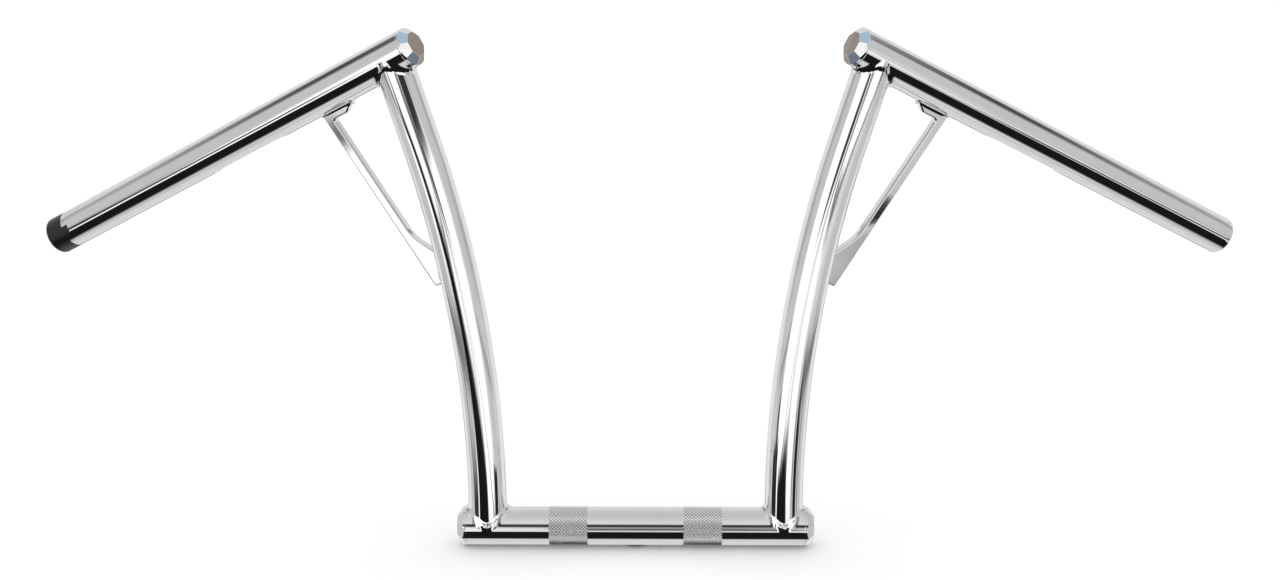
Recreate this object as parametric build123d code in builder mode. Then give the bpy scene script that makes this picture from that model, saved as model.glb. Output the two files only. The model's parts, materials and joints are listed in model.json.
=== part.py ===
from build123d import *
import math
import os

# A one-piece T-bar motorcycle handlebar: a welded frame of one-inch tube with a push-fit plastic insert.
# Millimetres and degrees. The origin is the middle of the base tube's axis. +Z is up, -Y is the front of
# the motorcycle, +X is the rider's left (clutch side) and -X the rider's right (throttle side).

# Tube
TUBE_R = 12.7
BORE_R = 9.7
SIDES = {"clutch": 1, "throttle": -1}
WIRE_WAY_R = 6.5

# Base tube, which two risers clamp on its knurled bands
BASE_HALF = 118.0
KNURL_R = 12.9
KNURL_WIDTH = 25.4
RISER_SPACING = 88.9
WIRE_EXIT_R = 6.35

# Uprights: a short straight foot, one bend outwards, then straight up to the grip tube
UPRIGHT_X = 98.0
FOOT = 15.0
BEND_R = 810.0
TILT = 17.5
RISE = 313.4

# Grip tubes, measured along their axis from where it crosses the upright's axis
SWEEP = 23.3
DROOP = 27.5
GRIP_INNER = 20.5
GRIP_OUTER = 305.0
END_ROUNDING = 2.4
SEAM_ROUNDING = 0.4
SEAT_R = 10.0
SEAT_DEPTH = 60.0

# Wiring dimple pressed into the underside of each grip tube
DIMPLE_START = 107.0
DIMPLE_END = 151.0
DIMPLE_TOOL_R = 5.0
DIMPLE_DEPTH = 3.0
DIMPLE_RAMP_R = 20.0
DIMPLE_RAMP_TURN = 60.0
DIMPLE_WALL = 2.4

# Eight-sided end caps with a plug inside the tube
CAP_HEAD = 6.0
CAP_FACE_APOTHEM = 7.9
CAP_BEVEL_SLOPE = 0.95
CAP_PLUG = 8.0
CAP_PLUG_R = 9.65
CAP_PLUG_LEAD = 1.0
HALF_FACET = 22.5

# Gusset strap, drawn in its own plane: x along the grip tube from the junction, y away from the tube
PLATE = 6.0
STRAP_WIDTH = 6.2
STRAP_TOP_X = 66.7
STRAP_LEAN = 0.098
FOOT_END_X = 41.0
FOOT_END_SLANT = 6.4
FOOT_THICKNESS = 5.2
ELBOW_R = 2.0
HEEL_Y = 108.0
HEEL_R = 25.0
HEEL_FOOT = (30.0, 138.0)
TOE_Y = 143.6
TOE_INNER_Y = 124.0

# Weld beads
BEAD_R = 2.6
FOOT_BEAD = 2.0
ROOT_GAP = 0.05

# Plastic insert in the throttle side's open end
COLLAR = 14.5
COLLAR_R = 12.65
COLLAR_ROUNDING = 0.8
SPIGOT = 40.0
SPIGOT_R = 9.95
INSERT_BORE_R = 7.5
TAB_WIDTH = 9.0
TAB_LENGTH = 5.5
TAB_GAP = 0.2

tilt = math.radians(TILT)
bend_top_x = UPRIGHT_X + BEND_R * (1 - math.cos(tilt))
bend_top_z = FOOT + BEND_R * math.sin(tilt)
JUNCTION_X = bend_top_x + (RISE - bend_top_z) * math.tan(tilt)


def junction(side):
    """Where a grip tube's axis crosses its upright's axis."""
    return Vector(side * JUNCTION_X, 0, RISE)


def grip_direction(side):
    """Along a grip tube, outwards: swept back and drooping."""
    droop = math.radians(DROOP)
    sweep_back = math.radians(SWEEP)
    level = math.cos(droop)
    return Vector(
        side * level * math.cos(sweep_back), level * math.sin(sweep_back), -math.sin(droop)
    )


def upright_direction(side):
    """Along the straight top of an upright, upwards."""
    return Vector(side * math.sin(tilt), 0, math.cos(tilt))


def under_grip(side):
    """Square to the grip tube, in the plane of the gusset, on the gusset's side."""
    along = grip_direction(side)
    down = upright_direction(side) * -1
    return (down - along * down.dot(along)).normalized()


def grip_section(side, distance=0.0):
    """The plane across a grip tube at a distance from the junction. Its x axis points to the gusset."""
    along = grip_direction(side)
    return Plane(origin=junction(side) + along * distance, x_dir=under_grip(side), z_dir=along)


def gusset_plane(side):
    """The gusset's middle plane: x along the grip tube, y away from it."""
    along = grip_direction(side)
    return Plane(origin=junction(side), x_dir=along, z_dir=along.cross(under_grip(side)))


def base_mouth(side):
    """The plane of the base tube's end, with z out of the tube and x upwards."""
    return Plane(origin=(side * (BASE_HALF - CAP_HEAD), 0, 0), x_dir=(0, 0, 1), z_dir=(side, 0, 0))


def grip_mouth(side):
    """The plane of the grip tube's inner end, with z out of the tube."""
    along = grip_direction(side)
    start = junction(side) - along * (GRIP_INNER - CAP_HEAD)
    return Plane(origin=start, x_dir=under_grip(side), z_dir=along * -1)


def tube_end(side):
    """How far out a grip tube's open end is. The insert's collar makes up the throttle side's length."""
    return GRIP_OUTER if side > 0 else GRIP_OUTER - COLLAR


def save(builder, label):
    """Label a finished piece and write it."""
    builder.part.label = label
    export_step(builder.part, f"parts/{label}.step")


def base_rod(radius):
    """A round rod along the base tube's axis, longer than the tube."""
    with BuildPart() as rod:
        with BuildSketch(Plane.YZ):
            Circle(radius)
        extrude(amount=1.5 * BASE_HALF, both=True)
    return rod.part


def grip_rod(side, radius):
    """A round rod along a grip tube's axis, longer than the tube."""
    with BuildPart() as rod:
        with BuildSketch(grip_section(side)):
            Circle(radius)
        extrude(amount=1.5 * GRIP_OUTER, both=True)
    return rod.part


def upright_rod(side, radius):
    """A round rod along an upright's axis, from the base tube's axis to the grip tube's."""
    with BuildPart() as rod:
        with BuildLine(Plane.XZ) as axis:
            foot = Line((UPRIGHT_X, 0), (UPRIGHT_X, FOOT))
            bend = JernArc(foot @ 1, foot % 1, BEND_R, -TILT)
            Line(bend @ 1, (JUNCTION_X, RISE))
        with BuildSketch(Plane.XY):
            with Locations((UPRIGHT_X, 0)):
                Circle(radius)
        sweep(path=axis.line)
        if side < 0:
            mirror(about=Plane.YZ, mode=Mode.REPLACE)
    return rod.part


def make_base_tube():
    """The base tube with its two knurled bands, wire holes under the uprights and a wire exit."""
    tube_half = BASE_HALF - CAP_HEAD
    with BuildPart() as base_tube:
        with BuildSketch(Plane.YZ):
            Circle(TUBE_R)
        extrude(amount=tube_half, both=True)
        for side in SIDES.values():
            with BuildSketch(Plane.YZ.offset(side * RISER_SPACING / 2)):
                Circle(KNURL_R)
            extrude(amount=KNURL_WIDTH / 2, both=True)
        with BuildSketch(Plane.YZ):
            Circle(BORE_R)
        extrude(amount=tube_half, both=True, mode=Mode.SUBTRACT)
        with BuildSketch(Plane.XY):
            with Locations((-UPRIGHT_X, 0), (UPRIGHT_X, 0)):
                Circle(WIRE_WAY_R)
        extrude(amount=2 * TUBE_R, mode=Mode.SUBTRACT)
        with BuildSketch(Plane.XY):
            Circle(WIRE_EXIT_R)
        extrude(amount=-2 * TUBE_R, mode=Mode.SUBTRACT)
    save(base_tube, "base_tube")


def make_cap(mouth, label):
    """A solid cap: a round head with eight flat bevels round a flat face, and a plug in the tube."""
    root_apothem = CAP_FACE_APOTHEM + CAP_HEAD / CAP_BEVEL_SLOPE
    with BuildPart() as cap:
        with BuildSketch(mouth):
            Circle(TUBE_R)
        extrude(amount=CAP_HEAD)
        with BuildSketch(mouth):
            RegularPolygon(root_apothem, 8, major_radius=False, rotation=HALF_FACET)
        with BuildSketch(mouth.offset(CAP_HEAD)):
            RegularPolygon(CAP_FACE_APOTHEM, 8, major_radius=False, rotation=HALF_FACET)
        loft(mode=Mode.INTERSECT)
        with BuildSketch(mouth):
            Circle(CAP_PLUG_R)
        extrude(amount=-CAP_PLUG)
        plug_rim = cap.edges().sort_by(Axis(mouth.origin, mouth.z_dir))[0]
        chamfer(plug_rim, CAP_PLUG_LEAD)
    save(cap, label)


def make_upright(name, side):
    """A hollow upright, coped at both ends to sit on the base tube and under the grip tube."""
    outside = upright_rod(side, TUBE_R)
    inside = upright_rod(side, BORE_R)
    base_cope = base_rod(TUBE_R + ROOT_GAP)
    grip_cope = grip_rod(side, TUBE_R + ROOT_GAP)
    with BuildPart() as upright:
        add(outside)
        add([inside, base_cope, grip_cope], mode=Mode.SUBTRACT)
    save(upright, f"upright_{name}")


def dimple_rod(side, radius):
    """A rod along the bottom of the wiring dimple: straight, and curving out of the tube at both ends."""
    depth_y = TUBE_R + DIMPLE_TOOL_R - DIMPLE_DEPTH
    with BuildPart() as rod:
        with BuildLine(gusset_plane(side)) as path:
            run = Line((DIMPLE_START, depth_y), (DIMPLE_END, depth_y))
            JernArc(run @ 1, run % 1, DIMPLE_RAMP_R, DIMPLE_RAMP_TURN)
            JernArc(run @ 0, (run % 0) * -1, DIMPLE_RAMP_R, -DIMPLE_RAMP_TURN)
        start = path.line @ 0
        with BuildSketch(Plane(origin=start, z_dir=path.line % 0)):
            Circle(radius)
        sweep(path=path.line)
    return rod.part


def make_grip_tube(name, side):
    """A grip tube with its reamed open end, wiring dimple and wire hole above the upright."""
    start = CAP_HEAD - GRIP_INNER
    end = tube_end(side)
    bulge = dimple_rod(side, DIMPLE_TOOL_R + DIMPLE_WALL) & grip_rod(side, BORE_R + ROOT_GAP)
    hollow = dimple_rod(side, DIMPLE_TOOL_R)
    with BuildPart() as tube:
        with BuildSketch(grip_section(side, start)):
            Circle(TUBE_R)
        extrude(amount=end - start)
        end_rim = tube.edges().sort_by(Axis(junction(side), grip_direction(side)))[-1]
        fillet(end_rim, END_ROUNDING if side > 0 else SEAM_ROUNDING)
        with BuildSketch(grip_section(side, start)):
            Circle(BORE_R)
        extrude(amount=end - start, mode=Mode.SUBTRACT)
        with BuildSketch(grip_section(side, end - SEAT_DEPTH)):
            Circle(SEAT_R)
        extrude(amount=SEAT_DEPTH, mode=Mode.SUBTRACT)
        add(bulge)
        add(hollow, mode=Mode.SUBTRACT)
        with BuildSketch(Plane(origin=junction(side), z_dir=upright_direction(side) * -1)):
            Circle(WIRE_WAY_R)
        extrude(amount=2 * TUBE_R, mode=Mode.SUBTRACT)
        if side < 0:
            with BuildSketch(gusset_plane(side)):
                with Locations((end, 0)):
                    Rectangle(2 * TAB_LENGTH, TAB_WIDTH)
            extrude(amount=2 * TUBE_R, mode=Mode.SUBTRACT)
    save(tube, f"grip_tube_{name}")


def make_insert(side):
    """The plastic insert: a collar flush with the tube, a spigot inside it and a tab in its slot."""
    end = tube_end(side)
    collar_rod = grip_rod(side, COLLAR_R)
    with BuildPart() as insert:
        with BuildSketch(gusset_plane(side)):
            with Locations((end - (TAB_LENGTH - TAB_GAP) / 2, 0)):
                Rectangle(TAB_LENGTH - TAB_GAP, TAB_WIDTH - 2 * TAB_GAP)
        extrude(amount=2 * TUBE_R)
        add(collar_rod, mode=Mode.INTERSECT)
        with BuildSketch(grip_section(side, end)):
            Circle(COLLAR_R)
        extrude(amount=COLLAR)
        outer_rim = insert.edges().sort_by(Axis(junction(side), grip_direction(side)))[-1]
        fillet(outer_rim, COLLAR_ROUNDING)
        with BuildSketch(grip_section(side, end)):
            Circle(SPIGOT_R)
        extrude(amount=-SPIGOT)
        with BuildSketch(grip_section(side, end - SPIGOT)):
            Circle(INSERT_BORE_R)
        extrude(amount=SPIGOT + COLLAR, mode=Mode.SUBTRACT)
    save(insert, "throttle_insert")


def strap_x(y, inset=0.0):
    """The strap's outer edge at y, moved inwards by inset."""
    return STRAP_TOP_X - STRAP_LEAN * y - inset * math.hypot(1, STRAP_LEAN)


def gusset_plate(side):
    """A flat strap from under the grip tube to the upright, with a foot at the top and a toe below."""
    foot_y = TUBE_R + FOOT_THICKNESS
    elbow = (strap_x(foot_y, STRAP_WIDTH), foot_y)
    heel = (strap_x(HEEL_Y, STRAP_WIDTH), HEEL_Y)
    foot_corner = (FOOT_END_X + FOOT_END_SLANT, foot_y)
    with BuildPart() as plate:
        with BuildSketch(gusset_plane(side)) as outline:
            with BuildLine():
                Polyline(
                    (FOOT_END_X, 0),
                    (FOOT_END_X, TUBE_R),
                    foot_corner,
                    elbow,
                    heel,
                    HEEL_FOOT,
                    (HEEL_FOOT[0], TOE_Y),
                    (strap_x(TOE_Y), TOE_Y),
                    (strap_x(0), 0),
                    close=True,
                )
            make_face()
            for corner, radius in ((foot_corner, ELBOW_R), (elbow, ELBOW_R), (heel, HEEL_R)):
                fillet(outline.vertices().sort_by_distance(corner)[0], radius)
        extrude(amount=PLATE / 2, both=True)
        add([grip_rod(side, TUBE_R), upright_rod(side, TUBE_R)], mode=Mode.SUBTRACT)
    return plate.part


def make_gusset(name, side):
    """The gusset, with the welds that hold its foot and its toe."""
    plate = gusset_plate(side)
    with BuildPart() as gusset:
        add(plate)
    save(gusset, f"gusset_{name}")
    grip = grip_rod(side, TUBE_R)
    upright = upright_rod(side, TUBE_R)
    foot_from = FOOT_END_X - FOOT_BEAD
    foot_to = strap_x(TUBE_R) + FOOT_BEAD
    toe_from = TOE_INNER_Y - FOOT_BEAD
    toe_to = TOE_Y + FOOT_BEAD
    for place, sheath, box_centre, box_size in (
        (
            "foot",
            grip_rod(side, TUBE_R + FOOT_BEAD),
            ((foot_from + foot_to) / 2, TUBE_R),
            (foot_to - foot_from, TUBE_R),
        ),
        (
            "toe",
            upright_rod(side, TUBE_R + FOOT_BEAD),
            (strap_x(TOE_Y), (toe_from + toe_to) / 2),
            (2 * TUBE_R, toe_to - toe_from),
        ),
    ):
        with BuildPart() as bead:
            with BuildSketch(gusset_plane(side)):
                with Locations(box_centre):
                    Rectangle(*box_size)
            extrude(amount=PLATE / 2 + FOOT_BEAD, both=True)
            add(sheath, mode=Mode.INTERSECT)
            add([grip, upright, plate], mode=Mode.SUBTRACT)
        save(bead, f"weld_gusset_{place}_{name}")


def seam_half(centre, along, branch, radius):
    """A round bead along half of the seam where a branch tube meets a tube of the same size."""
    across = along.cross(branch).normalized()
    middle = (along + branch).normalized()
    reach = TUBE_R / math.sqrt(1 - middle.dot(along) ** 2)
    with BuildPart() as half:
        with BuildLine(Plane(origin=centre, x_dir=across, z_dir=across.cross(middle))) as seam:
            EllipticalCenterArc((0, 0), TUBE_R, reach, arc_size=180)
        with BuildSketch(Plane(origin=seam.line @ 0, z_dir=seam.line % 0)):
            Circle(radius)
        sweep(path=seam.line)
    return half.part


def make_seam_weld(label, centre, along, branch, tubes):
    """The weld round a branch tube: a bead on each half of the seam, less the tubes themselves."""
    halves = [seam_half(centre, way, branch, BEAD_R) for way in (along, along * -1)]
    with BuildPart() as weld:
        add(halves)
        add(tubes, mode=Mode.SUBTRACT)
    save(weld, label)


if __name__ == "__main__":
    os.makedirs("parts", exist_ok=True)
    make_base_tube()
    for side_name, side_sign in SIDES.items():
        make_cap(base_mouth(side_sign), f"base_cap_{side_name}")
        make_cap(grip_mouth(side_sign), f"inner_cap_{side_name}")
        make_upright(side_name, side_sign)
        make_grip_tube(side_name, side_sign)
        make_gusset(side_name, side_sign)
        upright_outside = upright_rod(side_sign, TUBE_R)
        make_seam_weld(
            f"weld_base_{side_name}",
            Vector(side_sign * UPRIGHT_X, 0, 0),
            Vector(1, 0, 0),
            Vector(0, 0, 1),
            [base_rod(TUBE_R), upright_outside],
        )
        make_seam_weld(
            f"weld_grip_{side_name}",
            junction(side_sign),
            grip_direction(side_sign),
            upright_direction(side_sign) * -1,
            [grip_rod(side_sign, TUBE_R), upright_outside],
        )
    make_insert(SIDES["throttle"])
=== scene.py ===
"""Looks of a one-piece T-bar motorcycle handlebar: chrome tubes, polished welds, knurled riser bands."""

import json
import math

import bmesh
import bpy
import numpy as np
from mathutils import Matrix, Vector


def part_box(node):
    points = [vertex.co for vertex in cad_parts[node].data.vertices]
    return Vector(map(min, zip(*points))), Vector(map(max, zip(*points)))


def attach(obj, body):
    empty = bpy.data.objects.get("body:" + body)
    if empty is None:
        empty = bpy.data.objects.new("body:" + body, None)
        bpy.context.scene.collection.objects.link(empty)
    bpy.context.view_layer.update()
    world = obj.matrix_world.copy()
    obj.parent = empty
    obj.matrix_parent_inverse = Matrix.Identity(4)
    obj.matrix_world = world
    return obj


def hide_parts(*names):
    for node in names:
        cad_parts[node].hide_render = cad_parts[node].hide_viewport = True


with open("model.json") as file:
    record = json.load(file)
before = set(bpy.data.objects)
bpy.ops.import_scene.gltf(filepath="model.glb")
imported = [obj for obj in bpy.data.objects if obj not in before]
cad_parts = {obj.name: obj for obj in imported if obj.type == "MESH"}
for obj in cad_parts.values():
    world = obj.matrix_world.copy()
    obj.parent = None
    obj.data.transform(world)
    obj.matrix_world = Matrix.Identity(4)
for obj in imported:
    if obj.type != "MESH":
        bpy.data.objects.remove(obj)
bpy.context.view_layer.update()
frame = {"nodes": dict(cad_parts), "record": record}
MOUNTS = {mount["name"]: mount for mount in frame["record"]["mounts"]}
BAR = "handlebar"

# Metres. The frame: +Z up, -Y the front of the motorcycle, +X the clutch side.
TUBE_R = (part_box("upright_clutch")[1].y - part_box("upright_clutch")[0].y) / 2
BORE_R = 0.0097
AROUND = 160
SEAM_CHAMFER = 0.00015

# Base tube
UPRIGHT_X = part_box("upright_clutch")[0].x + TUBE_R
BASE_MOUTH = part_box("base_tube")[1].x
KNURL_R = MOUNTS["riser_clamp_clutch"]["dims"]["r_mm"] / 1000
KNURL_X = MOUNTS["riser_clamp_clutch"]["pos_m"][0]
KNURL_WIDTH = MOUNTS["riser_clamp_clutch"]["dims"]["length_mm"] / 1000
KNURL_DEPTH = 0.00050
KNURL_CELLS_AROUND = 36
KNURL_CELL_WIDTH = 0.00224
KNURL_FLAT = 0.22
CHANNEL_R = 0.01222
KNURL_RIM_R = CHANNEL_R + 0.00004
WIRE_EXIT_R = MOUNTS["wire_exit"]["dims"]["r_mm"] / 1000
MIDDLE_STEPS = 22

# The mesh round the wire exit: one patch in the outer wall, and a shorter one in the bore
PATCH_COLUMNS = 8
PATCH_ROWS = 32
PATCH_RINGS = 8
BORE_PATCH = 0.010  # half the bore patch's length
TOUCH = 1e-6  # slack where two lengths are compared

# Uprights
FOOT = 0.015
BEND_R = 0.810
TILT = math.radians(17.5)
UPRIGHT_RINGS = 56
FIRST_RING = 0.024  # above the base tube's axis
LAST_RING = 0.030  # short of the junction
COPE_ROWS = 3

# Grip tubes: distances from the junction, along the tube
GRIP_AXIS = np.array(MOUNTS["clutch_bar_end"]["axis"])
GRIP_POINT = np.array(MOUNTS["clutch_bar_end"]["pos_m"])
JUNCTION = GRIP_POINT - GRIP_AXIS * GRIP_POINT[1] / GRIP_AXIS[1]
SEAT_DEPTH = MOUNTS["clutch_bar_end"]["dims"]["length_mm"] / 1000
SEAT_R = MOUNTS["clutch_bar_end"]["dims"]["r_mm"] / 1000
GRIP_OUTER = (GRIP_POINT - JUNCTION) @ GRIP_AXIS + SEAT_DEPTH / 2
GRIP_MOUTH = 0.0145
END_ROUNDING = 0.0024
SEAM_ROUNDING = 0.0004
COLLAR = 0.0145
TAB_WIDTH = 0.009
TAB_LENGTH = 0.0055
DIMPLE_START = 0.107
DIMPLE_END = 0.151
DIMPLE_TOOL_R = 0.005
DIMPLE_DEPTH = 0.003
DIMPLE_RAMP_R = 0.020
DIMPLE_BLEND = 0.0009
DIMPLE_WALL = 0.0022

# Caps
CAP_HEAD = 0.006
CAP_FACE_APOTHEM = 0.0079
CAP_BEVEL_SLOPE = 0.95
CAP_EDGE = 0.00022
CAP_SIDES = 8
CAP_AROUND = 128

# Gussets, in their own plane: x along the grip tube, y away from it
PLATE = 0.006
STRAP_WIDTH = 0.0062
STRAP_TOP_X = 0.0667
STRAP_LEAN = 0.098
FOOT_END_X = 0.041
FOOT_END_SLANT = 0.0064
FOOT_THICKNESS = 0.0052
HEEL_Y = 0.108
HEEL_R = 0.025
TOE_Y = 0.1436
TOE_INNER_Y = 0.124
SUNK = 0.0015
PLATE_EDGE = 0.0011
PLATE_EDGE_STEPS = 6

# Welds
BEAD_REACH = 0.39
WELD_LEG = 0.004
WELD_SIDE_LEG = 0.0008
WELD_CORNER = 0.86
WELD_NOSE = 0.0025
WELD_CROWN = 0.00045
WELD_RIPPLE = 0.00012
WELD_WANDER = 0.00025
WELD_TOP_WANDER = 0.0003
FOOT_WELD = 0.0023
FOOT_WELD_CORNER = 0.24
FOOT_WELD_CROWN = 0.00015


def unit(vector):
    return np.asarray(vector, float) / np.linalg.norm(vector)


def on_side(points, side):
    """Points made for the clutch side, mirrored for the throttle side."""
    points = np.array(points, float)
    if side == "throttle":
        points[..., 0] *= -1
    return points


UP_DIRECTION = np.array([math.sin(TILT), 0, math.cos(TILT)])
UNDER_GRIP = unit(-UP_DIRECTION + GRIP_AXIS * (GRIP_AXIS @ UP_DIRECTION))
PLATE_NORMAL = np.cross(GRIP_AXIS, UNDER_GRIP)


# ---------------------------------------------------------------- meshes


def add_piece(name, points, faces, replaces, materials, side="clutch", slots=None, straight=None,
              sharp=30, flat_from=None):
    """One mesh object. straight holds each point's place on the straightened tube, for the polish."""
    points = np.asarray(points, float)
    straight = points if straight is None else np.asarray(straight, float)
    if side == "throttle":
        points = on_side(points, side)
        faces = [face[::-1] for face in faces]
    mesh = bpy.data.meshes.new(name)
    mesh.from_pydata(points.tolist(), [], [list(map(int, face)) for face in faces])
    mesh.validate()
    mesh.polygons.foreach_set("use_smooth", [True] * len(mesh.polygons))
    if slots is not None:
        mesh.polygons.foreach_set("material_index", slots)
    polish = mesh.attributes.new("polish", "FLOAT_VECTOR", "POINT")
    polish.data.foreach_set("vector", straight.astype(np.float32).ravel())
    mesh.set_sharp_from_angle(angle=math.radians(sharp))
    if flat_from:
        mesh.polygons.foreach_set("use_smooth", [polygon.area < flat_from for polygon in mesh.polygons])
    mesh.update()
    piece = bpy.data.objects.new(name, mesh)
    bpy.context.scene.collection.objects.link(piece)
    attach(piece, BAR)
    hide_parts(replaces)
    for material in materials:
        mesh.materials.append(material)


def grid_faces(rows, columns, rows_closed=False, skip=None):
    """Quads of a grid numbered row by row, always closed round its columns."""
    faces = []
    for i in range(rows if rows_closed else rows - 1):
        for j in range(columns):
            if skip is None or not skip(i, j):
                k = (i + 1) % rows
                m = (j + 1) % columns
                faces.append((i * columns + j, i * columns + m, k * columns + m, k * columns + j))
    return faces


def mesh_lists(mesh):
    """The points, faces and slots of a finished bmesh, which is then freed."""
    mesh.verts.index_update()
    points = [tuple(vert.co) for vert in mesh.verts]
    faces = [[vert.index for vert in face.verts] for face in mesh.faces]
    slots = [face.material_index for face in mesh.faces]
    mesh.free()
    return points, faces, slots


def arc_rows(centre_along, centre_r, radius, start, end, steps):
    """(along, radius) rows on a rounded rim."""
    turns = np.linspace(math.radians(start), math.radians(end), steps)
    return [(centre_along + radius * math.sin(a), centre_r + radius * math.cos(a)) for a in turns]


ANGLES = np.arange(AROUND) * 2 * math.pi / AROUND


# ---------------------------------------------------------------- base tube


def base_ring(x, radius):
    return np.stack([np.full(AROUND, x), radius * np.sin(ANGLES), radius * np.cos(ANGLES)], 1)


def knurl_sleeve(centre_x):
    """A sleeve of raised diamonds, made flat, trimmed to width and wrapped round the tube.

    It has no back: its two rims end in the tube's channel, just above the channel's floor.
    """
    cell_around = 2 * math.pi / KNURL_CELLS_AROUND
    columns = round(KNURL_WIDTH / KNURL_CELL_WIDTH) + 2
    valley_r = KNURL_R - KNURL_DEPTH
    flat = bmesh.new()
    corner = {}

    def valley(i, j):
        key = (i, j % (2 * KNURL_CELLS_AROUND + 2))
        if key not in corner:
            corner[key] = flat.verts.new((i * KNURL_CELL_WIDTH / 2, j * cell_around / 2, 0))
        return corner[key]

    for i in range(-columns, columns + 1):
        for j in range(2 * KNURL_CELLS_AROUND):
            if (i + j) % 2:
                continue
            ring = [valley(i - 1, j), valley(i, j - 1) if j else valley(i, -1), valley(i + 1, j),
                    valley(i, j + 1)]
            centre = Vector((i * KNURL_CELL_WIDTH / 2, j * cell_around / 2, KNURL_DEPTH))
            ways = ((-1, 0), (0, -1), (1, 0), (0, 1))
            top = [flat.verts.new(centre + Vector((a * KNURL_FLAT * KNURL_CELL_WIDTH / 2,
                                                   b * KNURL_FLAT * cell_around / 2, 0)))
                   for a, b in ways]
            flat.faces.new(top)
            for k in range(4):
                m = (k + 1) % 4
                flat.faces.new((ring[k], ring[m], top[m], top[k]))
    for sign in (-1, 1):
        bmesh.ops.bisect_plane(flat, geom=flat.verts[:] + flat.edges[:] + flat.faces[:],
                               plane_co=(sign * KNURL_WIDTH / 2, 0, 0), plane_no=(sign, 0, 0),
                               clear_outer=True)
    rim = [e for e in flat.edges if e.is_boundary
           and all(abs(abs(v.co.x) - KNURL_WIDTH / 2) < 1e-7 for v in e.verts)]
    skirt = bmesh.ops.extrude_edge_only(flat, edges=rim)["geom"]
    for item in skirt:
        if isinstance(item, bmesh.types.BMVert):
            item.co.z = KNURL_RIM_R - valley_r
    for vert in flat.verts:
        x, turn, height = vert.co
        radius = valley_r + height
        vert.co = (centre_x + x, radius * math.sin(turn), radius * math.cos(turn))
    bmesh.ops.remove_doubles(flat, verts=flat.verts, dist=1e-6)
    bmesh.ops.recalc_face_normals(flat, faces=flat.faces)
    outwards = sum(face.normal.yz.dot(face.calc_center_median().yz) for face in flat.faces)
    points, faces, _ = mesh_lists(flat)
    return points, faces if outwards > 0 else [face[::-1] for face in faces]


def hole_patch(radius, half_length, half_turn, columns, outward):
    """A stretch of tube wall under a round hole: spokes from the hole's edge to a rectangle."""
    corners = np.array([(-1, -1), (1, -1), (1, 1), (-1, 1)]) * (half_length, half_turn)
    edge = []
    for start, end, steps in zip(corners, np.roll(corners, -1, axis=0), (columns, PATCH_ROWS) * 2):
        edge += [start + (end - start) * k / steps for k in range(steps)]
    rings = []
    for step in range(PATCH_RINGS + 1):
        share = (step / PATCH_RINGS) ** 0.8
        ring = []
        for x, turn in edge:
            way = math.atan2(turn * radius, x)
            hole_x = WIRE_EXIT_R * math.cos(way)
            hole_turn = math.asin(WIRE_EXIT_R * math.sin(way) / radius)
            x_now = x + (hole_x - x) * share
            turn_now = turn + (hole_turn - turn) * share
            ring.append((x_now, radius * math.sin(turn_now), -radius * math.cos(turn_now)))
        rings.append(ring)
    faces = grid_faces(PATCH_RINGS + 1, len(edge))
    if not outward:
        faces = [face[::-1] for face in faces]
    return np.array(rings).reshape(-1, 3), faces


def base_tube():
    """Points, faces and slots of the tube without its knurl, with the wire exit underneath."""
    half_band = KNURL_WIDTH / 2
    inner, outer = KNURL_X - half_band, KNURL_X + half_band
    outside = []
    for start, end, radius, steps in (
        (-BASE_MOUTH, -outer, TUBE_R, 8), (-outer, -inner, CHANNEL_R, 2),
        (-inner, inner, TUBE_R, MIDDLE_STEPS),
        (inner, outer, CHANNEL_R, 2), (outer, BASE_MOUTH, TUBE_R, 8),
    ):
        outside += [(x, radius) for x in np.linspace(start, end, steps + 1)]
    outside[0] = (-BASE_MOUTH + SEAM_CHAMFER, TUBE_R)
    outside[-1] = (BASE_MOUTH - SEAM_CHAMFER, TUBE_R)
    outside.insert(0, (-BASE_MOUTH, TUBE_R - SEAM_CHAMFER))
    outside.append((BASE_MOUTH, TUBE_R - SEAM_CHAMFER))
    inside = [(x, BORE_R) for x in (BASE_MOUTH, inner, BORE_PATCH, -BORE_PATCH, -inner, -BASE_MOUTH)]
    profile = outside + inside
    points = np.concatenate([base_ring(x, r) for x, r in profile])
    xs = np.array([x for x, _ in profile])
    low = (AROUND - PATCH_ROWS) // 2
    high = (AROUND + PATCH_ROWS) // 2
    reach = 2 * inner / MIDDLE_STEPS * PATCH_COLUMNS / 2

    def skip(i, j):
        k = (i + 1) % len(profile)
        half_length = reach if i < len(outside) else BORE_PATCH
        near = max(abs(xs[i]), abs(xs[k])) < half_length + TOUCH
        same_wall = (i < len(outside)) == (k < len(outside))
        return near and same_wall and low <= j < high

    faces = [face[::-1] for face in grid_faces(len(profile), AROUND, rows_closed=True, skip=skip)]
    slots = [0 if face[0] // AROUND < len(outside) and face[2] // AROUND < len(outside) else 1
             for face in faces]
    half_turn = PATCH_ROWS * math.pi / AROUND
    for radius, half_length, columns, outward in (
        (TUBE_R, reach, PATCH_COLUMNS, True), (BORE_R, BORE_PATCH, 1, False),
    ):
        patch, patch_faces = hole_patch(radius, half_length, half_turn, columns, outward)
        start = len(points)
        points = np.concatenate([points, patch])
        faces += [tuple(start + v for v in face) for face in patch_faces]
        slots += [0 if outward else 1] * len(patch_faces)
    return points, faces, slots


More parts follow.
